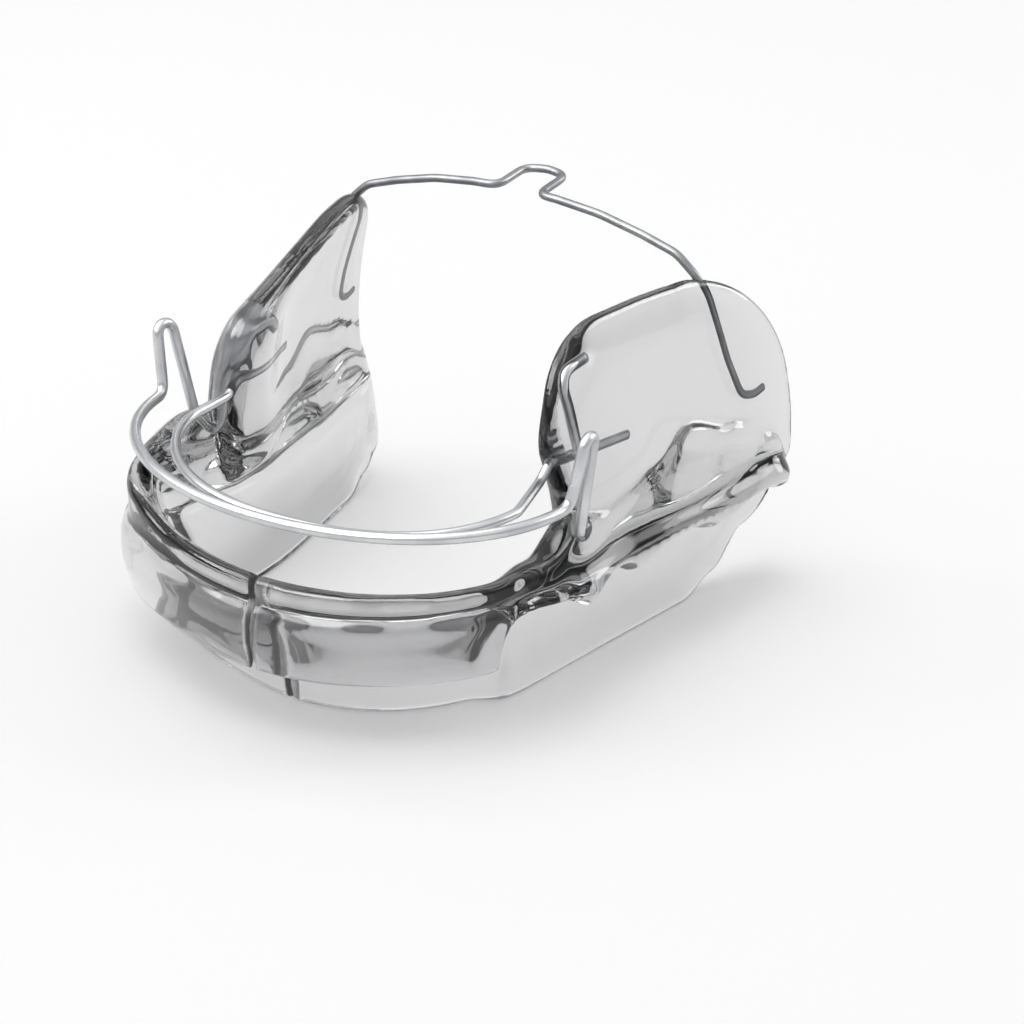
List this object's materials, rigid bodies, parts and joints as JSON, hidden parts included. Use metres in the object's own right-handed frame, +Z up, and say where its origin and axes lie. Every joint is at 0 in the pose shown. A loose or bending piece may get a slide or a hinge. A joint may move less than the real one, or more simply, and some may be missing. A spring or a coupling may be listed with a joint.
{
  "type": "functional orthodontic bite appliance",
  "caption": "Removable bite appliance: split clear acrylic body with a front cap and tall tongue wings, joined by a labial bow, an inner bow and a looped palatal bar.",
  "frame": {"origin": "bottom centre of the part's box, on the level where the flanges stand", "axes": "+Z up from the lower teeth towards the palate, +X to the wearer's left, -Y to the front, where the cap and the bows are"},
  "size_m": [0.0462, 0.0464, 0.0329],
  "materials": {
    "clear_acrylic": "polished clear dental acrylic",
    "stainless_spring_wire": "drawn stainless spring wire, bright"
  },
  "bodies": {
    "root": {"acrylic_left": "clear_acrylic", "acrylic_right": "clear_acrylic", "labial_bow": "stainless_spring_wire", "inner_bow": "stainless_spring_wire", "palatal_bar": "stainless_spring_wire"}
  },
  "joints": []
}
